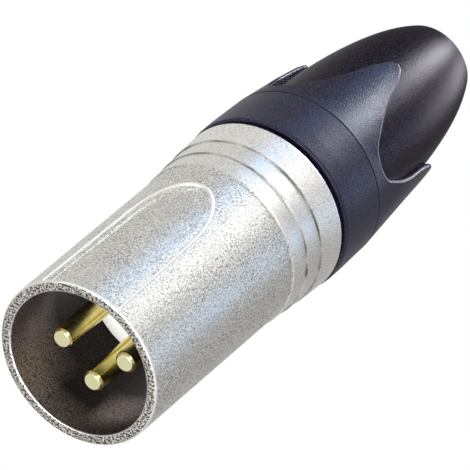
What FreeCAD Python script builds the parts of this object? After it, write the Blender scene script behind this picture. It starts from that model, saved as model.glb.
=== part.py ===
import FreeCAD, Part
import math
import os
from FreeCAD import Vector

# Three-pin cable plug, millimetres. +Z runs from the mating mouth to the cable end, with z = 0 on the rim.
# +Y is the side of the thumb panel and the keyway, opposite pin 3.

# Housing: die-cast shell, open at both ends
bore_radius = 8.17
barrel_wall = 1.28
cavity_depth = 14.4
rim_outer_round = 0.3
rim_inner_round = 0.25
barrel_length = 25.8
band_count = 3
band_length = 2.46
band_rise = 0.16
last_band_length = 3.93
last_band_flare = 0.15
housing_end_round = 0.3
insert_shoulder = 0.33
thread_relief = 0.2
thread_lead_in = 1.2

# Thumb panel: a shallow tongue in the barrel, open at the mouth and deeper towards its elliptical end
panel_mouth_half_width = 4.5
panel_half_width = 4.15
panel_side_length = 14.5
panel_margin = 3.35
panel_mouth_depth = 0.05
panel_end_depth = 0.24
panel_wall_slope = 1.5

# Keyway rib and blind latch pocket, inside the barrel under the panel
key_width = 1.8
key_height = 0.8
key_gap = 1.3
latch_width = 5.0
latch_depth = 0.55
latch_start = 5.0
latch_length = 3.2

# Contact pins with solder cups
pin_radius = 1.2
pin_circle_radius = 3.81
pin_tip_recess = 2.7
pin_tip_bevel = 0.3
pin_seat = 0.12
cup_wall = 0.4
cup_rim = 0.18
cup_floor = 0.9
cup_setback = 0.2
cup_opening_depth = 2.2
pin_angles = {"pin_1": 0.0, "pin_2": 180.0, "pin_3": 270.0}

# Insert: moulded carrier that holds the pins
insert_clearance = 0.05
insert_disc = 4.0
insert_edge_bevel = 0.25
skirt_length = 5.8
skirt_wall = 1.0
boss_wall = 0.8
boss_height = 1.5
divider_width = 0.8
divider_gap = 2.05
divider_setback = 1.8
divider_angles = (90, 225, 315)
pin_clearance = 0.02

# Ground spring: a bowed strip that stands in a slot of the insert's skirt
spring_width = 2.0
spring_thickness = 0.25
spring_foot = 2.1
spring_clearance = 0.03
spring_slot_clearance = 0.2

# Chuck: one-piece cable clamp, slit into fingers that the bushing's cone closes
chuck_gap = 0.2
flange_thickness = 2.0
flange_clearance = 0.2
chuck_clearance = 0.25
chuck_wall = 2.3
chuck_bore_step = 0.55
body_length = 6.6
slit_offset = 3.6
finger_gap = 0.3
finger_count = 6
finger_wall = 1.0
slit_width = 1.0
ridge_height = 0.35
ridge_spacing = 1.6
ridge_count = 5
tab_width = 2.0
tab_length = 2.6
tab_clearance = 0.1
tab_angles = (0, 180)
edge_round = 0.2

# Boot: soft gland inside the petals, with the cable hole
boot_clearance = 0.05
boot_length = 25.3
boot_profile_shares = ((0.4466, 0.832), (0.684, 0.603), (0.882, 0.28))
boot_lip = 0.7
boot_lip_round = 0.2
cable_hole_radius = 4.05
cable_hole_length = 8.0
boot_cavity_step = 0.65
collar_length = 1.5
collar_radius = 6.4

# Bushing: hard clamping ring with a threaded nose and four petals
ring_gap = 0.65
ring_length = 6.7
ring_step = 0.12
ring_wall = 1.33
ring_crown = 0.14
ring_front_round = 0.35
seam_width = 0.24
seam_depth = 0.14
nose_gap = 0.6
nose_wall = 0.85
nose_round = 0.3
thread_height = 0.4
core_margin = 0.15
petal_count = 4
boot_show = 12.6
petal_mid_wall = 0.85
petal_tip_wall = 0.8
petal_edge_round = 0.25
scallop_offset = 1.85
scallop_bottom_radius = 2.5
scallop_bottom_sweep = 65.0
scallop_low_half_width = 3.39
scallop_low_drop = 8.75
scallop_mid_half_width = 4.39
scallop_mid_drop = 5.2
scallop_end_half_width = 4.86
scallop_end_drop = 2.5
scallop_run_out = ((-1.05, 1.7), (-0.6, 0.55), (0.3, 0.05))
scallop_turn = 158.0
cut_margin = 1.0

# Radii and heights that follow from the sizes above
barrel_radius = bore_radius + barrel_wall
housing_end_radius = barrel_radius + band_count * band_rise + last_band_flare
insert_bore_radius = bore_radius + insert_shoulder
insert_radius = insert_bore_radius - insert_clearance
skirt_bore_radius = insert_radius - skirt_wall
thread_bore_radius = insert_bore_radius + thread_relief
nose_radius = thread_bore_radius - thread_height
nose_bore_radius = nose_radius - nose_wall
cup_radius = pin_radius + cup_rim
cup_bore_radius = cup_radius - cup_wall
chuck_body_radius = nose_bore_radius - chuck_clearance
chuck_bore_radius = chuck_body_radius - chuck_wall
finger_bore_radius = chuck_bore_radius - chuck_bore_step
cone_rear_radius = finger_bore_radius + finger_wall + chuck_clearance
boot_cavity_radius = cable_hole_radius + boot_cavity_step
boot_end_radius = cable_hole_radius + boot_lip
ring_radius = housing_end_radius + ring_step
ring_rear_radius = ring_radius - ring_crown
boot_root_radius = ring_rear_radius - ring_wall - boot_clearance
panel_end = barrel_length - panel_margin
key_start = latch_start + latch_length + key_gap
insert_face = cavity_depth
skirt_front = insert_face + insert_disc
insert_rear = skirt_front + skirt_length
boss_rear = skirt_front + boss_height
pin_shoulder = insert_face + pin_seat
cup_rear = insert_rear - cup_setback
thread_bore_start = insert_rear - thread_lead_in
housing_length = barrel_length + (band_count - 1) * band_length + last_band_length
ring_front = housing_length + ring_gap
seam_z = ring_front + ring_length
scallop_z = seam_z + scallop_offset
core_rear = scallop_z - core_margin
boot_front = core_rear + boot_clearance
boot_end = core_rear + boot_length
petal_tip = boot_end - boot_show
chuck_front = insert_rear + chuck_gap
flange_rear = chuck_front + flange_thickness
nose_front = flange_rear + nose_gap
cone_start = flange_rear + body_length
slit_start = flange_rear + slit_offset
finger_rear = core_rear - collar_length - finger_gap
full_turn = 360.0
axis_z = Vector(0, 0, 1)
origin = Vector(0, 0, 0)


def section_point(radius, height):
    return Vector(radius, 0, height)


def corner_edges(corners):
    """Edges of a closed outline in the XZ plane. Each corner is (radius, height, rounding)."""
    count = len(corners)
    starts = []
    ends = []
    mids = []
    for i in range(count):
        here = section_point(*corners[i][:2])
        before = section_point(*corners[i - 1][:2]) - here
        after = section_point(*corners[(i + 1) % count][:2]) - here
        rounding = corners[i][2]
        if rounding == 0:
            starts.append(here)
            ends.append(here)
            mids.append(None)
            continue
        half = before.getAngle(after) / 2
        run = rounding / math.tan(half)
        before.normalize()
        after.normalize()
        inward = before + after
        inward.normalize()
        starts.append(here + before * run)
        ends.append(here + after * run)
        mids.append(here + inward * (rounding / math.sin(half) - rounding))
    edges = []
    for i in range(count):
        if mids[i] is not None:
            edges.append(Part.Arc(starts[i], mids[i], ends[i]).toShape())
        edges.append(Part.LineSegment(ends[i], starts[(i + 1) % count]).toShape())
    return edges


def turned(corners):
    wire = Part.Wire(Part.__sortEdges__(corner_edges(corners)))
    return Part.Face(wire).revolve(origin, axis_z, full_turn)


def tube(outer, inner, low, high):
    return turned([(inner, low, 0), (outer, low, 0), (outer, high, 0), (inner, high, 0)])


def at_angle(shape, degrees):
    turned_copy = shape.copy()
    turned_copy.rotate(origin, axis_z, degrees)
    return turned_copy


def radial_block(width, inner, outer, low, high, degrees):
    block = Part.makeBox(outer - inner, width, high - low, Vector(inner, -width / 2, low))
    return at_angle(block, degrees)


def pin_place(name):
    angle = math.radians(pin_angles[name])
    return Vector(pin_circle_radius * math.cos(angle), pin_circle_radius * math.sin(angle), 0)


def panel_outline(level):
    """Thumb panel seen from above, at a distance from the axis: it grows outwards by its wall's slope."""
    grow = panel_wall_slope * (level - barrel_radius)
    centre = Vector(0, level, panel_side_length)
    mouth_left = Vector(-panel_mouth_half_width - grow, level, -cut_margin)
    mouth_right = Vector(panel_mouth_half_width + grow, level, -cut_margin)
    end_left = centre - Vector(panel_half_width + grow, 0, 0)
    end_right = centre + Vector(panel_half_width + grow, 0, 0)
    end_middle = Vector(0, level, panel_end + grow)
    return Part.Wire([
        Part.LineSegment(mouth_left, mouth_right).toShape(),
        Part.LineSegment(mouth_right, end_right).toShape(),
        Part.ArcOfEllipse(Part.Ellipse(end_middle, end_right, centre), -math.pi / 2, math.pi / 2).toShape(),
        Part.LineSegment(end_left, mouth_left).toShape(),
    ])


def panel_tool():
    """The tongue of metal that the thumb panel takes away, above a cone that sinks towards the rear."""
    above = 1.0
    outlines = [panel_outline(barrel_radius + side * above) for side in (-1, 1)]
    tongue = Part.makeLoft(outlines, True, True)
    slope = (panel_end_depth - panel_mouth_depth) / panel_end
    front = barrel_radius - panel_mouth_depth + slope * cut_margin
    rear = barrel_radius - panel_end_depth - slope * above
    length = panel_end + cut_margin + above
    return tongue.cut(Part.makeCone(front, rear, length, Vector(0, 0, -cut_margin)))


def make_housing():
    outline = [
        (bore_radius, 0, rim_inner_round),
        (barrel_radius, 0, rim_outer_round),
    ]
    for band in range(band_count):
        height = barrel_length + band * band_length
        radius = barrel_radius + band * band_rise
        outline.append((radius, height, 0))
        outline.append((radius + band_rise, height + band_rise, 0))
    outline += [
        (housing_end_radius, housing_length, housing_end_round),
        (thread_bore_radius, housing_length, 0),
        (thread_bore_radius, thread_bore_start, 0),
        (insert_bore_radius, thread_bore_start, 0),
        (insert_bore_radius, insert_face, 0),
        (bore_radius, insert_face, 0),
    ]
    shell = turned(outline).cut(panel_tool())
    latch_end = latch_start + latch_length
    pocket = tube(bore_radius + latch_depth, bore_radius - cut_margin, latch_start, latch_end)
    pocket = pocket.common(radial_block(latch_width, 0, barrel_radius, latch_start, latch_end, 90))
    shell = shell.cut(pocket)
    root = (barrel_radius - bore_radius) / 3
    key = tube(bore_radius + root, bore_radius - key_height, key_start, insert_face)
    key = key.common(radial_block(key_width, 0, barrel_radius, key_start, insert_face, 90))
    return shell.fuse(key).removeSplitter()


def make_pin(name):
    tip_radius = pin_radius - pin_tip_bevel
    cup_bottom = boss_rear + cup_floor
    outline = [
        (0, pin_tip_recess, 0),
        (tip_radius, pin_tip_recess, pin_tip_bevel / 3),
        (pin_radius, pin_tip_recess + pin_tip_bevel, pin_tip_bevel / 2),
        (pin_radius, pin_shoulder, 0),
        (cup_radius, pin_shoulder, 0),
        (cup_radius, cup_rear, 0),
        (cup_bore_radius, cup_rear, 0),
        (cup_bore_radius, cup_bottom, 0),
        (0, cup_bottom, 0),
    ]
    pin = turned(outline)
    opening = radial_block(2 * cup_radius, 0, 2 * cup_radius, cup_rear - cup_opening_depth, cup_rear, 0)
    pin = at_angle(pin.cut(opening), pin_angles[name] + 180)
    pin.translate(pin_place(name))
    return pin


def make_insert():
    disc = turned([
        (0, insert_face, 0),
        (insert_radius - insert_edge_bevel, insert_face, 0),
        (insert_radius, insert_face + insert_edge_bevel, 0),
        (insert_radius, insert_rear, 0),
        (skirt_bore_radius, insert_rear, 0),
        (skirt_bore_radius, skirt_front, 0),
        (0, skirt_front, 0),
    ])
    divider_reach = skirt_bore_radius - divider_gap
    divider_top = insert_rear - divider_setback
    disc_middle = insert_face + insert_disc / 2
    for angle in divider_angles:
        disc = disc.fuse(radial_block(divider_width, 0, divider_reach, disc_middle, divider_top, angle))
    for name in pin_angles:
        boss_place = pin_place(name) + axis_z * disc_middle
        disc = disc.fuse(Part.makeCylinder(pin_radius + boss_wall, boss_rear - disc_middle, boss_place))
    for name in pin_angles:
        front_place = pin_place(name) + axis_z * (insert_face - cut_margin)
        front_length = pin_seat + 2 * cut_margin
        disc = disc.cut(Part.makeCylinder(pin_radius + pin_clearance, front_length, front_place))
        shank_place = pin_place(name) + axis_z * pin_shoulder
        shank_length = insert_rear - pin_shoulder
        disc = disc.cut(Part.makeCylinder(cup_radius + pin_clearance, shank_length, shank_place))
    slot_width = spring_width + 2 * spring_slot_clearance
    disc = disc.cut(radial_block(slot_width, divider_reach, insert_bore_radius, skirt_front, insert_rear, 90))
    notch_width = tab_width + 2 * tab_clearance
    notch_front = chuck_front - tab_length - tab_clearance
    for angle in tab_angles:
        notch = radial_block(notch_width, divider_reach, insert_bore_radius, notch_front, insert_rear, angle)
        disc = disc.cut(notch)
    return disc.removeSplitter()


def make_ground_spring():
    contact_radius = math.sqrt(insert_bore_radius ** 2 - (spring_width / 2) ** 2) - spring_clearance
    foot_outer = insert_radius - skirt_wall / 2
    low = skirt_front + spring_clearance
    high = insert_rear - spring_slot_clearance
    middle = (low + high) / 2

    def bow(inset):
        start = Vector(0, foot_outer - inset, low)
        top = Vector(0, contact_radius - inset, middle)
        end = Vector(0, foot_outer - inset, high)
        return start, top, end

    outer = bow(0)
    inner = bow(spring_thickness)
    edges = [
        Part.Arc(*outer).toShape(),
        Part.LineSegment(outer[2], inner[2]).toShape(),
        Part.Arc(inner[2], inner[1], inner[0]).toShape(),
        Part.LineSegment(inner[0], outer[0]).toShape(),
    ]
    half = Vector(spring_width / 2, 0, 0)
    strip = Part.Face(Part.Wire(edges)).extrude(half * 2)
    strip.translate(half * -1)
    foot_start = Vector(-spring_width / 2, foot_outer - spring_foot, low)
    foot = Part.makeBox(spring_width, spring_foot - spring_thickness / 2, spring_thickness, foot_start)
    return strip.fuse(foot).removeSplitter()


def cone_radius(height):
    share = max(0.0, (height - cone_start) / (core_rear - cone_start))
    return nose_bore_radius + share * (cone_rear_radius - nose_bore_radius)


def make_chuck():
    flange_radius = thread_bore_radius - flange_clearance
    finger_radius = cone_radius(finger_rear) - chuck_clearance
    outline = [
        (chuck_bore_radius, chuck_front, 0),
        (flange_radius, chuck_front, edge_round),
        (flange_radius, flange_rear, edge_round),
        (chuck_body_radius, flange_rear, 0),
        (chuck_body_radius, cone_start, 0),
        (finger_radius, finger_rear, edge_round),
        (finger_bore_radius, finger_rear, edge_round),
        (finger_bore_radius, slit_start, 0),
        (chuck_bore_radius, slit_start - chuck_bore_step, 0),
    ]
    chuck = turned(outline)
    first_ridge = finger_rear - ridge_spacing * (ridge_count + 0.5)
    foot = finger_bore_radius + edge_round / 2
    for ridge in range(ridge_count):
        height = first_ridge + ridge * ridge_spacing
        crest_height = height + ridge_height
        tooth = turned([
            (foot, height, 0),
            (finger_bore_radius - ridge_height, crest_height, 0),
            (foot, crest_height + edge_round, 0),
        ])
        chuck = chuck.fuse(tooth)
    for slit in range(finger_count):
        angle = (slit + 0.5) * full_turn / finger_count
        slit_end = finger_rear + cut_margin
        chuck = chuck.cut(radial_block(slit_width, 0, flange_radius, slit_start, slit_end, angle))
    for angle in tab_angles:
        tab = radial_block(tab_width, skirt_bore_radius + tab_clearance, flange_radius,
                           chuck_front - tab_length, flange_rear, angle)
        chuck = chuck.fuse(tab.common(Part.makeCylinder(insert_radius - tab_clearance, flange_rear)))
    return chuck.removeSplitter()


def boot_curve(grow):
    """Outside of the boot, from the bushing's core to the cable end."""
    curve = Part.BSplineCurve()
    points = [section_point(boot_root_radius + grow, core_rear)]
    for along, fullness in boot_profile_shares:
        radius = boot_end_radius + fullness * (boot_root_radius - boot_end_radius)
        points.append(section_point(radius + grow, core_rear + along * boot_length))
    points.append(section_point(boot_end_radius + grow, boot_end - boot_lip_round))
    curve.interpolate(points)
    return curve, points


def boot_radius_at(height):
    """Radius of the boot's outside at a height, where a level line meets its outline."""
    curve = boot_curve(0)[0]
    level = Part.LineSegment(section_point(0, height), section_point(2 * boot_root_radius, height)).toShape()
    return Vector(curve.toShape().distToShape(level)[1][0][0]).x


def boot_solid(grow):
    """Boot outside as a full solid of revolution, from the bushing's core to the cable end."""
    curve, points = boot_curve(grow)
    front_axis = section_point(0, core_rear)
    lip = section_point(boot_end_radius - boot_lip_round, boot_end + grow)
    end_axis = section_point(0, boot_end + grow)
    edges = [
        Part.LineSegment(front_axis, points[0]).toShape(),
        curve.toShape(),
        Part.LineSegment(points[-1], lip).toShape(),
        Part.LineSegment(lip, end_axis).toShape(),
        Part.LineSegment(end_axis, front_axis).toShape(),
    ]
    return Part.Face(Part.Wire(edges)).revolve(origin, axis_z, full_turn)


def make_boot():
    front_gap = Part.makeCylinder(ring_radius, boot_clearance, Vector(0, 0, core_rear))
    collar_front = boot_front - collar_length
    collar = Part.makeCylinder(collar_radius, collar_length + boot_lip, Vector(0, 0, collar_front))
    hole_front = boot_end - cable_hole_length
    passage = turned([
        (0, collar_front - cut_margin, 0),
        (boot_cavity_radius, collar_front - cut_margin, 0),
        (boot_cavity_radius, hole_front - boot_cavity_step, 0),
        (cable_hole_radius, hole_front, 0),
        (cable_hole_radius, boot_end + cut_margin, 0),
        (0, boot_end + cut_margin, 0),
    ])
    return boot_solid(0).cut(front_gap).fuse(collar).cut(passage).removeSplitter()


def petal_radii():
    """Radii of the petals' outside at its middle and at its tip: the boot plus a wall."""
    middle = boot_radius_at((seam_z + petal_tip) / 2) + boot_clearance + petal_mid_wall
    tip = boot_radius_at(petal_tip) + boot_clearance + petal_tip_wall
    return middle, tip


def petal_arc():
    """Outside of the petals in section, through the ring's edge, the middle and the tip."""
    middle_radius, tip_radius = petal_radii()
    edge = section_point(ring_rear_radius, seam_z + seam_width / 2)
    middle = section_point(middle_radius, (seam_z + petal_tip) / 2)
    tip = section_point(tip_radius, petal_tip)
    return edge, middle, tip


def petal_radius_at(height):
    level = Part.LineSegment(section_point(0, height), section_point(2 * ring_radius, height)).toShape()
    return Vector(Part.Arc(*petal_arc()).toShape().distToShape(level)[1][0][0]).x


def scallop_tool():
    """Radial cutter between two petals: a round-bottomed U that flares out over the petals' tips."""
    centre = scallop_z + scallop_bottom_radius
    sweep = math.radians(scallop_bottom_sweep)
    bottom_half_width = scallop_bottom_radius * math.sin(sweep)
    bottom_top = centre - scallop_bottom_radius * math.cos(sweep)
    petal_axis = math.sin(math.pi / petal_count) * petal_radii()[1]
    top = petal_tip + cut_margin
    side = [
        (bottom_half_width, bottom_top),
        (scallop_low_half_width, petal_tip - scallop_low_drop),
        (scallop_mid_half_width, petal_tip - scallop_mid_drop),
        (scallop_end_half_width, petal_tip - scallop_end_drop),
    ]
    side += [(petal_axis + across, petal_tip - drop) for across, drop in scallop_run_out]

    def place(across, height):
        return Vector(0, across, height)

    def flank(sign):
        curve = Part.BSplineCurve()
        points = [place(sign * across, height) for across, height in side]
        start_way = place(sign * math.cos(sweep), math.sin(sweep))
        curve.interpolate(Points=points, InitialTangent=start_way, FinalTangent=place(sign, 0.15))
        return curve.toShape()

    far, far_height = side[-1]
    edges = [
        Part.Arc(place(-bottom_half_width, bottom_top), place(0, scallop_z),
                 place(bottom_half_width, bottom_top)).toShape(),
        flank(1),
        Part.LineSegment(place(far, far_height), place(far, top)).toShape(),
        Part.LineSegment(place(far, top), place(-far, top)).toShape(),
        Part.LineSegment(place(-far, top), place(-far, far_height)).toShape(),
        flank(-1),
    ]
    wire = Part.Wire(Part.__sortEdges__(edges))
    return Part.Face(wire).extrude(Vector(ring_radius + cut_margin, 0, 0))


def make_ring():
    half_seam = seam_width / 2
    collar_seat = core_rear - collar_length
    return turned([
        (nose_bore_radius, nose_front, 0),
        (nose_radius, nose_front, nose_round),
        (nose_radius, ring_front, 0),
        (ring_radius, ring_front, ring_front_round),
        (ring_radius, ring_front + ring_length / 3, 0),
        (ring_rear_radius, seam_z - half_seam, 0),
        (ring_rear_radius - seam_depth, seam_z, 0),
        (ring_rear_radius, seam_z + half_seam, 0),
        (boot_root_radius, seam_z + half_seam, 0),
        (boot_root_radius, core_rear, 0),
        (collar_radius + boot_clearance, core_rear, 0),
        (collar_radius + boot_clearance, collar_seat, 0),
        (cone_radius(collar_seat), collar_seat, 0),
        (nose_bore_radius, cone_start, 0),
    ])


def make_petals():
    edge, middle, tip = petal_arc()
    tip_axis = section_point(boot_cavity_radius, petal_tip)
    edge_axis = section_point(boot_cavity_radius, edge.z)
    edges = [
        Part.Arc(edge, middle, tip).toShape(),
        Part.LineSegment(tip, tip_axis).toShape(),
        Part.LineSegment(tip_axis, edge_axis).toShape(),
        Part.LineSegment(edge_axis, edge).toShape(),
    ]
    petals = Part.Face(Part.Wire(edges)).revolve(origin, axis_z, full_turn)
    core = Part.makeCylinder(boot_root_radius, core_rear - seam_z, Vector(0, 0, seam_z))
    petals = at_angle(petals.cut(core).cut(boot_solid(boot_clearance)), scallop_turn)
    cutter = scallop_tool()
    for petal in range(petal_count):
        petals = petals.cut(at_angle(cutter, scallop_turn + petal * full_turn / petal_count))
    lip_edges = []
    for edge in petals.Edges:
        middle_point = edge.valueAt((edge.FirstParameter + edge.LastParameter) / 2)
        middle_radius = math.hypot(middle_point.x, middle_point.y)
        above_ring = min(vertex.Z for vertex in edge.Vertexes) > seam_z + seam_width
        if above_ring and middle_radius > petal_radius_at(middle_point.z) - seam_width / 4:
            lip_edges.append(edge)
    return petals.makeFillet(petal_edge_round, lip_edges)


def make_bushing():
    return make_ring().fuse(make_petals()).removeSplitter()


def write(name, shape):
    shape.exportStep("parts/%s.step" % name)
    print(name, len(shape.Solids), "solid", shape.isValid(), round(shape.Volume, 1))


os.makedirs("parts", exist_ok=True)
write("housing", make_housing())
write("insert", make_insert())
for pin_name in pin_angles:
    write(pin_name, make_pin(pin_name))
write("ground_spring", make_ground_spring())
write("chuck", make_chuck())
write("bushing", make_bushing())
write("boot", make_boot())
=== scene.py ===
import bpy
import math
from mathutils import Matrix, Vector


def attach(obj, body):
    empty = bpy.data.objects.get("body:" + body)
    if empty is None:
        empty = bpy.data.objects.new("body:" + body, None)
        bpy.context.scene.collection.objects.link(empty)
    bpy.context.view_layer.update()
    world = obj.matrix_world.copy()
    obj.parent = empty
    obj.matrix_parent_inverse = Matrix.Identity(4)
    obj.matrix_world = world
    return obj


# Three-pin cable plug on a plain pale floor. Metres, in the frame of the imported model.
# It stands on its rim with the mouth down, and the camera looks up into the mouth from below the floor.

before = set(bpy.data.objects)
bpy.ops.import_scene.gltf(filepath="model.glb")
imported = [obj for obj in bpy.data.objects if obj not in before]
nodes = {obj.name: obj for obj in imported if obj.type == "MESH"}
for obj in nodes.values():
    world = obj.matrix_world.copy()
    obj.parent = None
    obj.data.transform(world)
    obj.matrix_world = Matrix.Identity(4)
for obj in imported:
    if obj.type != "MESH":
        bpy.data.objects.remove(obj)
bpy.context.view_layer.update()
mm = 0.001

plug = {
    "noseRadius": 8.3 * mm,        # thread root, the bushing's front part
    "boreRadius": 8.17 * mm,
    "middle": 34.5 * mm,           # half height, where the lamps aim
}


# Small helpers for node materials

def newMaterial(name):
    material = bpy.data.materials.new(name)
    material.use_nodes = True
    material.node_tree.nodes.clear()
    return material, material.node_tree.nodes, material.node_tree.links


def addNode(tree, kind, **values):
    node = tree.new(kind)
    for key, value in values.items():
        setattr(node, key, value)
    return node


def setInputs(node, **values):
    for key, value in values.items():
        node.inputs[key.replace("_", " ")].default_value = value


def objectNoise(tree, links, coords, scale, detail, roughness=0.5):
    noise = addNode(tree, "ShaderNodeTexNoise")
    setInputs(noise, Scale=scale, Detail=detail, Roughness=roughness)
    links.new(coords, noise.inputs["Vector"])
    return noise.outputs["Fac"]


def remap(tree, links, value, fromLow, fromHigh, toLow, toHigh):
    node = addNode(tree, "ShaderNodeMapRange")
    node.clamp = True
    setInputs(node, From_Min=fromLow, From_Max=fromHigh, To_Min=toLow, To_Max=toHigh)
    links.new(value, node.inputs["Value"])
    return node.outputs["Result"]


def combine(tree, links, operation, first, second=None):
    node = addNode(tree, "ShaderNodeMath", operation=operation)
    for socket, value in zip(node.inputs, (first, second)):
        if isinstance(value, float):
            socket.default_value = value
        elif value is not None:
            links.new(value, socket)
    return node.outputs[0]


def mixColours(tree, links, factor, first, second):
    node = addNode(tree, "ShaderNodeMix", data_type="RGBA")
    links.new(factor, node.inputs["Factor"])
    for socket, colour in ((node.inputs[6], first), (node.inputs[7], second)):
        if isinstance(colour, tuple):
            socket.default_value = (*colour, 1.0)
        else:
            links.new(colour, socket)
    return node.outputs[2]


def mixNumbers(tree, links, factor, first, second):
    node = addNode(tree, "ShaderNodeMix", data_type="FLOAT")
    links.new(factor, node.inputs["Factor"])
    for socket, value in ((node.inputs[2], first), (node.inputs[3], second)):
        if isinstance(value, float):
            socket.default_value = value
        else:
            links.new(value, socket)
    return node.outputs[0]


def scaleColour(tree, links, colour, factor):
    node = addNode(tree, "ShaderNodeVectorMath", operation="SCALE")
    links.new(colour, node.inputs[0])
    links.new(factor, node.inputs["Scale"])
    return node.outputs[0]


def bumpFrom(tree, links, height, strength, distance):
    node = addNode(tree, "ShaderNodeBump")
    setInputs(node, Strength=strength, Distance=distance)
    links.new(height, node.inputs["Height"])
    return node.outputs["Normal"]


def radiusFromAxis(tree, links, coords):
    flat = addNode(tree, "ShaderNodeVectorMath", operation="MULTIPLY")
    flat.inputs[1].default_value = (1, 1, 0)
    length = addNode(tree, "ShaderNodeVectorMath", operation="LENGTH")
    links.new(coords, flat.inputs[0])
    links.new(flat.outputs[0], length.inputs[0])
    return length.outputs["Value"]


def heightOf(tree, links, coords):
    split = addNode(tree, "ShaderNodeSeparateXYZ")
    links.new(coords, split.inputs[0])
    return split.outputs["Z"]


def sideways(tree, links, coords, angle):
    node = addNode(tree, "ShaderNodeVectorMath", operation="DOT_PRODUCT")
    links.new(coords, node.inputs[0])
    node.inputs[1].default_value = (math.cos(math.radians(angle)), math.sin(math.radians(angle)), 0)
    return node.outputs["Value"]


def finishMaterial(material, tree, links, shader):
    output = addNode(tree, "ShaderNodeOutputMaterial")
    links.new(shader.outputs["BSDF"], output.inputs["Surface"])
    return material


def paint(nodeName, material):
    shown = nodes[nodeName]
    shown.data.materials.clear()
    shown.data.materials.append(material)


# Satin nickel over a cast housing

nickel = {
    "colour": (1.0, 0.99, 0.96),
    "colourDull": (0.46, 0.45, 0.41),
    "grainScale": 6400,                  # about a sixth of a millimetre
    "grainRange": (0.37, 0.58),
    "grainDepth": 0.02 * mm,
    "bump": 0.5,
    "cloudScale": 260,
    "cloudRange": (0.3, 0.7),
    "pitColour": (0.20, 0.19, 0.17),     # small pits, in patches
    "pitScale": 4800,
    "pitRange": (0.58, 0.66),
    "pitShare": 0.9,
    "pitPatches": (0.44, 0.6),
    "boreShadeColour": (0.27, 0.22, 0.225),   # painted shade: the bore is coloured dark for the shade that falls inside it
    "boreShadeDull": (0.05, 0.038, 0.038),
    "boreDepths": (0.5 * mm, 4.5 * mm),  # painted shade: it darkens further between these heights
    "boreDeep": 0.08,
    "boreReflectionPatches": (                     # painted reflections, lighter patches on two sides: object angle, heights, added share, start
        (229, 1.0 * mm, 4.0 * mm, 4.2, 5.6 * mm),
        (358, -1.0 * mm, 0.0 * mm, 1.3, 4.6 * mm),
    ),
    "patchTo": 8.2 * mm,
    "patchFade": (3.5 * mm, 8.5 * mm),
    "rimColour": (0.62, 0.61, 0.57),     # the rim keeps a coarse cast grain
    "rimDull": (0.05, 0.045, 0.042),
    "rimGrainScale": 4200,
    "rimGrainRange": (0.42, 0.58),
    "rimHeight": 0.3 * mm,
    "rimFade": 0.7,                      # share of rimHeight where the fade starts
    "rimEdges": (8.32 * mm, 9.30 * mm),  # and smooth rounded edges in the clean colour, which also paints bright highlight lines on them
    "edgeFade": 0.05 * mm,
    "bandFront": 25.82 * mm,             # painted highlight: the bands behind this height are lighter
    "bandFade": 0.1 * mm,
    "bandHighlightShare": 0.5,
    # painted shade: a thin dark line along the foot of each band step, in patches
    "bandFeet": (28.32 * mm, 30.78 * mm),
    "footHalfWidth": 0.14 * mm,
    "footCore": 0.4,                     # share of the half width that is fully dark
    "footShadeColour": (0.13, 0.127, 0.125),
    "footShadePatches": (0.4, 0.62, 0.15, 0.95),
    "wallFade": (0.05 * mm, 0.15 * mm),  # outside the bore: where its colour starts to end, and over what
    "roughness": 0.42,
    "roughnessSpread": 0.05,
    "boreRoughness": 0.4,
}


def nickelOutside(tree, links, speck, cloud, coords, height):
    pitGrain = objectNoise(tree, links, coords, nickel["pitScale"], 1.0)
    outside = mixColours(tree, links, speck, nickel["colourDull"], nickel["colour"])
    pits = remap(tree, links, pitGrain, *nickel["pitRange"], 0.0, nickel["pitShare"])
    inPatches = remap(tree, links, cloud, *nickel["pitPatches"], 0.0, 1.0)
    pits = combine(tree, links, "MULTIPLY", pits, inPatches)
    outside = mixColours(tree, links, pits, outside, nickel["pitColour"])
    # Painted highlight on the bands, then painted shade along the foot of each band step
    front = nickel["bandFront"]
    paintedBandHighlight = remap(tree, links, height, front, front + nickel["bandFade"], 0.0, nickel["bandHighlightShare"])
    outside = mixColours(tree, links, paintedBandHighlight, outside, nickel["colour"])
    halfWidth = nickel["footHalfWidth"]
    for foot in nickel["bandFeet"]:
        off = combine(tree, links, "ABSOLUTE", combine(tree, links, "SUBTRACT", height, foot))
        paintedFootShade = remap(tree, links, off, nickel["footCore"] * halfWidth, halfWidth, 1.0, 0.0)
        paintedFootShade = combine(tree, links, "MULTIPLY", paintedFootShade, remap(tree, links, cloud, *nickel["footShadePatches"]))
        outside = mixColours(tree, links, paintedFootShade, outside, nickel["footShadeColour"])
    return outside


# Painted shade in the bore: a dark colour that darkens with depth, with painted reflection patches added on
# two sides
def nickelInside(tree, links, speck, coords, height):
    inside = mixColours(tree, links, speck, nickel["boreShadeDull"], nickel["boreShadeColour"])
    depth = remap(tree, links, height, *nickel["boreDepths"], 1.0, nickel["boreDeep"])
    # Painted reflections: each patch lightens one side of the bore
    for angle, lowEnd, highEnd, share, start in nickel["boreReflectionPatches"]:
        side = sideways(tree, links, coords, angle)
        patch = remap(tree, links, side, start, nickel["patchTo"], 0.0, share)
        rise = remap(tree, links, height, lowEnd, highEnd, 0.0, 1.0)
        fall = remap(tree, links, height, *nickel["patchFade"], 1.0, 0.0)
        patch = combine(tree, links, "MULTIPLY", patch, combine(tree, links, "MULTIPLY", rise, fall))
        depth = combine(tree, links, "ADD", depth, patch)
    return scaleColour(tree, links, inside, depth)


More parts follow.
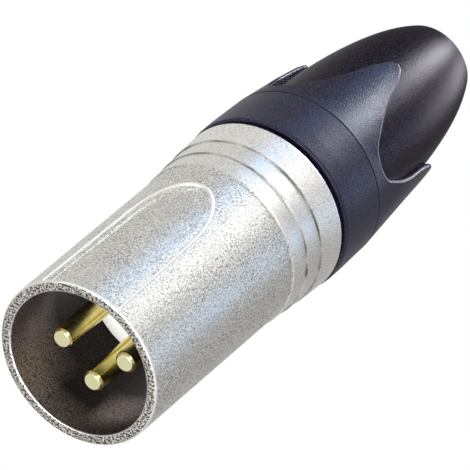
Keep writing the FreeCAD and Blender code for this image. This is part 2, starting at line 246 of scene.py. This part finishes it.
def nickelRim(tree, links, coords, radius):
    coarse = objectNoise(tree, links, coords, nickel["rimGrainScale"], 1.5)
    cast = remap(tree, links, coarse, *nickel["rimGrainRange"], 0.0, 1.0)
    rim = mixColours(tree, links, cast, nickel["rimDull"], nickel["rimColour"])
    # The rounded rim edges take the clean colour: a smoother finish, and partly painted highlight lines
    innerEdge, outerEdge = nickel["rimEdges"]
    onInner = remap(tree, links, radius, innerEdge, innerEdge + nickel["edgeFade"], 1.0, 0.0)
    onOuter = remap(tree, links, radius, outerEdge - nickel["edgeFade"], outerEdge, 0.0, 1.0)
    rim = mixColours(tree, links, onInner, rim, nickel["colour"])
    return mixColours(tree, links, onOuter, rim, nickel["colour"])


def nickelFinish():
    material, tree, links = newMaterial("satinNickel")
    coords = addNode(tree, "ShaderNodeTexCoord").outputs["Object"]
    grain = objectNoise(tree, links, coords, nickel["grainScale"], 2.0)
    cloud = objectNoise(tree, links, coords, nickel["cloudScale"], 3.0)
    speck = remap(tree, links, grain, *nickel["grainRange"], 0.0, 1.0)
    height = heightOf(tree, links, coords)
    radius = radiusFromAxis(tree, links, coords)
    outside = nickelOutside(tree, links, speck, cloud, coords, height)
    inside = nickelInside(tree, links, speck, coords, height)
    rim = nickelRim(tree, links, coords, radius)
    rimHeight = nickel["rimHeight"]
    onRim = remap(tree, links, height, nickel["rimFade"] * rimHeight, rimHeight, 1.0, 0.0)
    fadeStart, fadeWidth = nickel["wallFade"]
    wallFrom = plug["boreRadius"] + fadeStart
    outer = remap(tree, links, radius, wallFrom, wallFrom + fadeWidth, 0.0, 1.0)
    colour = mixColours(tree, links, outer, inside, mixColours(tree, links, onRim, outside, rim))
    shader = addNode(tree, "ShaderNodeBsdfPrincipled")
    setInputs(shader, Metallic=1.0)
    links.new(colour, shader.inputs["Base Color"])
    middle, spread = nickel["roughness"], nickel["roughnessSpread"]
    rough = remap(tree, links, cloud, *nickel["cloudRange"], middle - spread, middle + spread)
    links.new(mixNumbers(tree, links, outer, nickel["boreRoughness"], rough), shader.inputs["Roughness"])
    links.new(bumpFrom(tree, links, grain, nickel["bump"], nickel["grainDepth"]), shader.inputs["Normal"])
    return finishMaterial(material, tree, links, shader)


paint("housing", nickelFinish())
print("housing finished")


# Gold-plated contacts

gold = {
    "colour": (0.60, 0.50, 0.14),
    "colourPale": (0.74, 0.65, 0.26),
    "cloudScale": 900,
    "noiseRange": (0.3, 0.7),
    # painted highlight: the flat tips are coloured pale
    "tipHighlightColour": (1.0, 0.98, 0.61),
    "tipHeight": 2.82 * mm,
    "tipFade": 0.05 * mm,
    "roughness": (0.16, 0.26),
    "grainScale": 6000,
    "grainDepth": 0.006 * mm,
    "bump": 0.2,
}


def goldFinish():
    material, tree, links = newMaterial("goldPlate")
    coords = addNode(tree, "ShaderNodeTexCoord").outputs["Object"]
    cloud = objectNoise(tree, links, coords, gold["cloudScale"], 3.0)
    fine = objectNoise(tree, links, coords, gold["grainScale"], 2.0)
    shaft = mixColours(tree, links, remap(tree, links, cloud, *gold["noiseRange"], 0.0, 1.0),
                       gold["colour"], gold["colourPale"])
    height = heightOf(tree, links, coords)
    # Painted highlight on the flat tips
    onLitTip = remap(tree, links, height, gold["tipHeight"] - gold["tipFade"], gold["tipHeight"], 1.0, 0.0)
    colour = mixColours(tree, links, onLitTip, shaft, gold["tipHighlightColour"])
    shader = addNode(tree, "ShaderNodeBsdfPrincipled")
    setInputs(shader, Metallic=1.0)
    links.new(colour, shader.inputs["Base Color"])
    links.new(remap(tree, links, fine, *gold["noiseRange"], *gold["roughness"]), shader.inputs["Roughness"])
    links.new(bumpFrom(tree, links, fine, gold["bump"], gold["grainDepth"]), shader.inputs["Normal"])
    return finishMaterial(material, tree, links, shader)


goldMaterial = goldFinish()
for pinName in ("pin_1", "pin_2", "pin_3"):
    paint(pinName, goldMaterial)
print("contacts finished")


# Moulded plastics: one recipe, other numbers for each piece

plastics = {
    "insert": {"name": "paleInsertPlastic", "colour": (0.88, 0.88, 0.86), "second": (0.80, 0.80, 0.78),
               "roughness": (0.41, 0.49), "specular": 0.5, "tint": (1.0, 1.0, 1.0), "grainScale": 3000,
               "grainDepth": 0.006 * mm, "bump": 0.2},
    "chuck": {"name": "clampPlastic", "colour": (0.035, 0.035, 0.042), "second": (0.05, 0.05, 0.06),
              "roughness": (0.46, 0.54), "specular": 0.5, "tint": (1.0, 1.0, 1.0), "grainScale": 2600,
              "grainDepth": 0.008 * mm, "bump": 0.3},
    "bushing": {"name": "bushingPlastic", "colour": (0.003, 0.001, 0.010), "second": (0.060, 0.044, 0.110),
                "roughness": (0.29, 0.41), "specular": 0.64, "tint": (0.68, 0.78, 1.0), "grainScale": 6000,
                "grainDepth": 0.045 * mm, "bump": 0.6, "dullBelow": 42.4 * mm, "duller": 0.06},
    "boot": {"name": "bootRubber", "colour": (0.001, 0.0, 0.001), "second": (0.044, 0.026, 0.060),
             "roughness": (0.29, 0.41), "specular": 0.17, "tint": (0.86, 0.80, 1.0), "grainScale": 6000,
             "grainDepth": 0.045 * mm, "bump": 0.7},
}
moulded = {
    "grainDetail": 2.5,
    "grainRoughness": 0.6,
    "fleckRange": (0.46, 0.7),
    "dullFade": 1.5 * mm,          # the bushing's ring is duller than its petals
}


def plasticFinish(look):
    material, tree, links = newMaterial(look["name"])
    coords = addNode(tree, "ShaderNodeTexCoord").outputs["Object"]
    grain = objectNoise(tree, links, coords, look["grainScale"], moulded["grainDetail"],
                        moulded["grainRoughness"])
    fleck = remap(tree, links, grain, *moulded["fleckRange"], 0.0, 1.0)
    shader = addNode(tree, "ShaderNodeBsdfPrincipled")
    setInputs(shader, Specular_IOR_Level=look["specular"], Specular_Tint=(*look["tint"], 1.0))
    colour = mixColours(tree, links, fleck, look["colour"], look["second"])
    links.new(colour, shader.inputs["Base Color"])
    rough = remap(tree, links, fleck, 0.0, 1.0, *look["roughness"])
    if "dullBelow" in look:
        edge = look["dullBelow"]
        height = heightOf(tree, links, coords)
        added = remap(tree, links, height, edge, edge + moulded["dullFade"], look["duller"], 0.0)
        rough = combine(tree, links, "ADD", rough, added)
    links.new(rough, shader.inputs["Roughness"])
    links.new(bumpFrom(tree, links, grain, look["bump"], look["grainDepth"]), shader.inputs["Normal"])
    return finishMaterial(material, tree, links, shader)


for nodeName, look in plastics.items():
    paint(nodeName, plasticFinish(look))


# Ground spring, and the plain metal that the bead shares

springSteel = {"name": "springSteel", "colour": (0.62, 0.61, 0.60), "roughness": (0.25, 0.38)}
rolledMetal = {"grainScale": 4000, "grainRange": (0.3, 0.7), "grainDepth": 0.004 * mm, "bump": 0.2}


def plainMetal(look):
    material, tree, links = newMaterial(look["name"])
    coords = addNode(tree, "ShaderNodeTexCoord").outputs["Object"]
    grain = objectNoise(tree, links, coords, rolledMetal["grainScale"], 2.0)
    shader = addNode(tree, "ShaderNodeBsdfPrincipled")
    setInputs(shader, Metallic=1.0, Base_Color=(*look["colour"], 1.0))
    rough = remap(tree, links, grain, *rolledMetal["grainRange"], *look["roughness"])
    links.new(rough, shader.inputs["Roughness"])
    bump = bumpFrom(tree, links, grain, rolledMetal["bump"], rolledMetal["grainDepth"])
    links.new(bump, shader.inputs["Normal"])
    return finishMaterial(material, tree, links, shader)


paint("ground_spring", plainMetal(springSteel))
print("plastics and spring finished")


# Raised bead round the thumb panel, laid on the housing

panelBead = {
    "name": "polishedBead",
    "colour": (1.0, 1.0, 0.98),
    "roughness": (0.45, 0.58),
    "beadRadius": 0.17 * mm,        # at the mouth
    "endSwell": 1.4,                # times thicker round the end
    "halfWidth": 4.2 * mm,          # where the round end starts
    "mouthHalfWidth": 4.55 * mm,
    "roundStart": 14.5 * mm,
    "end": 22.5 * mm,
    "mouthSetback": 0.4 * mm,
    "above": 14 * mm,               # drawn here, then dropped on the housing
    "vertices": 96,
    "cuts": 10,
    "bevelSteps": 3,
    "slack": 0.01 * mm,             # for picking vertices by height
}


def pickVertices(piece, test):
    bpy.ops.object.mode_set(mode="OBJECT")
    for vertex in piece.data.vertices:
        vertex.select = test(vertex.co)
    bpy.ops.object.mode_set(mode="EDIT")


def addPanelBead():
    look = panelBead
    bpy.ops.object.select_all(action="DESELECT")
    bpy.ops.mesh.primitive_circle_add(vertices=look["vertices"], radius=1, rotation=(math.pi / 2, 0, 0),
                                      location=(0, look["above"], look["roundStart"]))
    bead = bpy.context.active_object
    bead.name = "panelBead"
    bead.scale = (look["halfWidth"], look["end"] - look["roundStart"], 1)
    bpy.ops.object.transform_apply(location=True, rotation=True, scale=True)
    bpy.ops.object.mode_set(mode="EDIT")
    bpy.ops.mesh.select_mode(type="VERT")
    bpy.ops.mesh.select_all(action="DESELECT")
    pickVertices(bead, lambda place: place.z < look["roundStart"] - look["slack"])
    bpy.ops.mesh.delete(type="VERT")
    pickVertices(bead, lambda place: place.z < look["roundStart"] + look["slack"])
    sideLength = look["roundStart"] - look["mouthSetback"]
    bpy.ops.mesh.extrude_region_move(TRANSFORM_OT_translate={"value": (0, 0, -sideLength)})
    bpy.ops.transform.resize(value=(look["mouthHalfWidth"] / look["halfWidth"], 1, 1))
    pickVertices(bead, lambda place: place.z < look["roundStart"] + look["slack"])
    bpy.ops.mesh.subdivide(number_cuts=look["cuts"])
    bpy.ops.object.mode_set(mode="OBJECT")
    drop = bead.modifiers.new("drop", "SHRINKWRAP")
    drop.target = nodes["housing"]
    drop.wrap_method = "PROJECT"
    drop.use_project_y = True
    drop.use_negative_direction = True
    drop.use_positive_direction = False
    bpy.ops.object.modifier_apply(modifier="drop")
    bpy.ops.object.convert(target="CURVE")
    for spline in bead.data.splines:
        for point in spline.points:
            share = (point.co.z - look["mouthSetback"]) / (look["end"] - look["mouthSetback"])
            point.radius = 1 + (look["endSwell"] - 1) * max(share, 0) ** 2
    bead.data.bevel_depth = look["beadRadius"]
    bead.data.bevel_resolution = look["bevelSteps"]
    bead.data.use_fill_caps = True
    bpy.ops.object.convert(target="MESH")
    bpy.ops.object.shade_smooth()
    bead = bpy.context.active_object
    bead.data.materials.clear()
    bead.data.materials.append(plainMetal(look))
    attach(bead, "plug_body")


addPanelBead()
print("panel bead laid")


# Thread on the bushing's nose, seen when the ring is screwed off

noseThread = {
    "height": 0.33 * mm,
    "base": 1.0 * mm,
    "pitch": 1.25 * mm,
    "turns": 5,
    "start": 27.9 * mm,
    "sink": 0.04 * mm,
    "steps": 72,
    "smoothAngle": 30,
}


def addNoseThread(material):
    look = noseThread
    bpy.ops.object.select_all(action="DESELECT")
    bpy.ops.mesh.primitive_circle_add(vertices=3, radius=1, rotation=(math.pi / 2, math.pi / 2, 0))
    thread = bpy.context.active_object
    thread.name = "noseThread"
    bpy.ops.object.transform_apply(location=False, rotation=True, scale=False)
    # a triangle of radius 1 is 1.5 high, with its centre at a third, and its sides are root 3 long
    thread.scale = (look["height"] / 1.5, 1, look["base"] / math.sqrt(3))
    thread.location = (plug["noseRadius"] - look["sink"] + look["height"] / 3, 0, look["start"])
    bpy.ops.object.transform_apply(location=True, rotation=True, scale=True)
    turn = thread.modifiers.new("turn", "SCREW")
    turn.axis = "Z"
    turn.angle = 2 * math.pi
    turn.screw_offset = look["pitch"]
    turn.iterations = look["turns"]
    turn.steps = look["steps"]
    turn.render_steps = look["steps"]
    turn.use_merge_vertices = True
    bpy.ops.object.modifier_apply(modifier="turn")
    bpy.ops.object.mode_set(mode="EDIT")
    bpy.ops.mesh.select_all(action="SELECT")
    bpy.ops.mesh.fill_holes(sides=4)
    bpy.ops.mesh.normals_make_consistent(inside=False)
    bpy.ops.object.mode_set(mode="OBJECT")
    bpy.ops.object.shade_smooth_by_angle(angle=math.radians(look["smoothAngle"]))
    thread.data.materials.clear()
    thread.data.materials.append(material)
    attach(thread, "end_cap")


addNoseThread(nodes["bushing"].data.materials[0])
print("thread cut")


# Camera, from a fit of the mouth, the rings and the outline

view = {
    "tilt": 44.6,              # between the plug's axis and the line of sight
    "roll": 40.38,             # how far the axis rises to the right in the picture
    "turn": 128.0,             # object azimuth that faces the camera
    "distance": 0.8,
    "pixelsPerMm": 9.88,       # at the plug's origin
    "originInPicture": (78.08, 363.82),
    "frameSize": 470,
    "sensor": 36.0,
    "clip": (0.01, 20),
}


def addCamera():
    turn, tilt, roll = (math.radians(view[key]) for key in ("turn", "tilt", "roll"))
    up = Vector((0, 0, 1))
    facing = Vector((math.cos(turn), math.sin(turn), 0))
    across = up.cross(facing)
    along = facing * math.cos(tilt) + up * math.sin(tilt)
    look = -facing * math.sin(tilt) + up * math.cos(tilt)
    right = along * math.cos(roll) + across * math.sin(roll)
    down = -along * math.sin(roll) + across * math.cos(roll)
    half = view["frameSize"] / 2
    offset = [(pixel - half) / view["pixelsPerMm"] * mm for pixel in view["originInPicture"]]
    place = -(right * offset[0] + down * offset[1] + look * view["distance"])
    cameraData = bpy.data.cameras.new("camera")
    cameraData.sensor_width = view["sensor"]
    focalLength = view["pixelsPerMm"] / mm * view["distance"]    # in pixels
    cameraData.lens = focalLength / view["frameSize"] * view["sensor"]
    cameraData.clip_start, cameraData.clip_end = view["clip"]
    camera = bpy.data.objects.new("camera", cameraData)
    bpy.context.collection.objects.link(camera)
    axes = Matrix((right, -down, -look)).transposed()
    camera.matrix_world = Matrix.Translation(place) @ axes.to_4x4()
    bpy.context.scene.camera = camera


addCamera()
print("camera placed")


# Floor: seen from above, clear from below, so that the camera looks through it

floor = {"size": 1.6, "colour": (0.86, 0.86, 0.86), "fadeFrom": 0.10, "fadeTo": 0.45}


def addFloor():
    bpy.ops.object.select_all(action="DESELECT")
    bpy.ops.mesh.primitive_plane_add(size=floor["size"], location=(0, 0, 0))
    plane = bpy.context.active_object
    plane.name = "floor"
    material, tree, links = newMaterial("floorPaint")
    coords = addNode(tree, "ShaderNodeTexCoord").outputs["Object"]
    paintShader = addNode(tree, "ShaderNodeBsdfDiffuse")
    setInputs(paintShader, Color=(*floor["colour"], 1.0))
    clear = addNode(tree, "ShaderNodeBsdfTransparent")
    back = addNode(tree, "ShaderNodeNewGeometry").outputs["Backfacing"]
    radius = radiusFromAxis(tree, links, coords)
    far = remap(tree, links, radius, floor["fadeFrom"], floor["fadeTo"], 0.0, 1.0)
    either = combine(tree, links, "MAXIMUM", back, far)
    mix = addNode(tree, "ShaderNodeMixShader")
    links.new(either, mix.inputs["Fac"])
    links.new(paintShader.outputs[0], mix.inputs[1])
    links.new(clear.outputs[0], mix.inputs[2])
    links.new(mix.outputs[0], addNode(tree, "ShaderNodeOutputMaterial").inputs["Surface"])
    plane.data.materials.append(material)
    for ray in ("visible_diffuse", "visible_glossy", "visible_transmission", "visible_shadow"):
        setattr(plane, ray, False)


addFloor()
print("floor laid")


# Light: a bright horizon under a dark ceiling, and soft lamps, each at an azimuth from the camera's side

world = {
    "background": 1.0,                # what the camera sees
    "colour": (1.0, 0.98, 0.95),
    "left": 0.88,                     # radiance of the horizon on either side
    "right": 0.42,
    "sideAzimuth": -80,               # the brightest side
    "sideRange": 0.7,
    "ceiling": 0.02,                  # share of the horizon's light that is left overhead
    "ceilingFrom": 43,
    "ceilingTo": 53,
    "below": 0.58,
    "belowFade": 0.05,
    "glossShare": 0.1,                # how much of the background shows in the metal, more flattens it
    "stripeAzimuth": -25,             # low down, bright and dark stripes stand round the plug
    "stripeRange": (0.25, 0.95),
    "stripeBright": 1.15,
    "stripeDark": 0.45,
    "stripeTop": 0.3,                 # sine of the elevation
    "stripeFull": 0.5,                # share of stripeTop up to which they are full
}

lamps = {
    "key": {"azimuth": -8, "elevation": 73, "width": 0.11, "height": 0.21, "radiance": 19.5,
            "colour": (0.98, 0.98, 1.0)},
    "soft": {"azimuth": 5, "elevation": 40, "width": 0.2, "height": 0.2, "radiance": 0.1,
             "colour": (0.97, 0.97, 1.0)},
    "bandLight": {"azimuth": 50, "elevation": 26, "width": 0.26, "height": 0.14, "radiance": 0.7,
                  "colour": (1.0, 1.0, 1.0)},
    "blueLeft": {"azimuth": -38, "elevation": 48, "width": 0.05, "height": 0.2, "radiance": 3.8,
                 "colour": (0.15, 0.5, 1.0)},
    "blueRight": {"azimuth": 58, "elevation": 48, "width": 0.05, "height": 0.2, "radiance": 2.4,
                  "colour": (0.15, 0.5, 1.0)},
    "rightSide": {"azimuth": 100, "elevation": 72, "width": 0.12, "height": 0.14, "radiance": 7.0,
                  "colour": (0.95, 0.9, 1.0)},
    "front": {"azimuth": 0, "elevation": -45, "width": 0.14, "height": 0.14, "radiance": 4.0,
              "colour": (1.0, 1.0, 1.0)},
    "mouth": {"azimuth": 0, "elevation": -89, "width": 0.12, "height": 0.12, "radiance": 55.0,
              "colour": (1.0, 0.99, 0.97)},
}
lampDistance = 0.5


def towards(azimuth, elevation):
    turned, raised = math.radians(view["turn"] + azimuth), math.radians(elevation)
    flat = math.cos(raised)
    return Vector((math.cos(turned) * flat, math.sin(turned) * flat, math.sin(raised)))


def studioLight(tree, links):
    direction = addNode(tree, "ShaderNodeTexCoord").outputs["Generated"]
    side = sideways(tree, links, direction, view["turn"] + world["sideAzimuth"])
    sideRange = world["sideRange"]
    horizon = remap(tree, links, side, -sideRange, sideRange, world["right"], world["left"])
    height = heightOf(tree, links, direction)
    fadeFrom, fadeTo = (math.sin(math.radians(world[key])) for key in ("ceilingFrom", "ceilingTo"))
    fade = remap(tree, links, height, fadeFrom, fadeTo, 1.0, world["ceiling"])
    level = combine(tree, links, "MULTIPLY", horizon, fade)
    under = remap(tree, links, height, -world["belowFade"], world["belowFade"], 1.0, 0.0)
    level = mixNumbers(tree, links, under, level, world["below"])
    stripe = sideways(tree, links, direction, view["turn"] + world["stripeAzimuth"])
    stripe = combine(tree, links, "ABSOLUTE", stripe)
    stripe = remap(tree, links, stripe, *world["stripeRange"], world["stripeDark"], world["stripeBright"])
    fromHorizon = combine(tree, links, "ABSOLUTE", height)
    fullTo = world["stripeFull"] * world["stripeTop"]
    nearHorizon = remap(tree, links, fromHorizon, fullTo, world["stripeTop"], 1.0, 0.0)
    striped = combine(tree, links, "MULTIPLY", level, stripe)
    return mixNumbers(tree, links, nearHorizon, level, striped)


def addWorld():
    sky = bpy.data.worlds.new("studio")
    bpy.context.scene.world = sky
    sky.use_nodes = True
    tree, links = sky.node_tree.nodes, sky.node_tree.links
    tree.clear()
    light = addNode(tree, "ShaderNodeBackground")
    setInputs(light, Color=(*world["colour"], 1.0))
    links.new(studioLight(tree, links), light.inputs["Strength"])
    seen = addNode(tree, "ShaderNodeBackground")
    setInputs(seen, Color=(1.0, 1.0, 1.0, 1.0), Strength=world["background"])
    rays = addNode(tree, "ShaderNodeLightPath")
    mix = addNode(tree, "ShaderNodeMixShader")
    gloss = combine(tree, links, "MULTIPLY", rays.outputs["Is Glossy Ray"], world["glossShare"])
    through = combine(tree, links, "MAXIMUM", rays.outputs["Is Transmission Ray"], gloss)
    links.new(combine(tree, links, "MAXIMUM", rays.outputs["Is Camera Ray"], through), mix.inputs["Fac"])
    links.new(light.outputs[0], mix.inputs[1])
    links.new(seen.outputs[0], mix.inputs[2])
    links.new(mix.outputs[0], addNode(tree, "ShaderNodeOutputWorld").inputs["Surface"])


def addLamp(name, lamp):
    data = bpy.data.lights.new(name, "AREA")
    data.shape = "RECTANGLE"
    data.size = lamp["width"]
    data.size_y = lamp["height"]
    data.color = lamp["colour"]
    data.energy = lamp["radiance"] * math.pi * lamp["width"] * lamp["height"]
    away = towards(lamp["azimuth"], lamp["elevation"])
    lampObject = bpy.data.objects.new(name, data)
    bpy.context.collection.objects.link(lampObject)
    lampObject.location = Vector((0, 0, plug["middle"])) + away * lampDistance
    lampObject.rotation_mode = "QUATERNION"
    lampObject.rotation_quaternion = away.to_track_quat("Z", "Y")


addWorld()
for lampName, lamp in lamps.items():
    addLamp(lampName, lamp)
bpy.context.scene.view_settings.view_transform = "Standard"
print("light set")
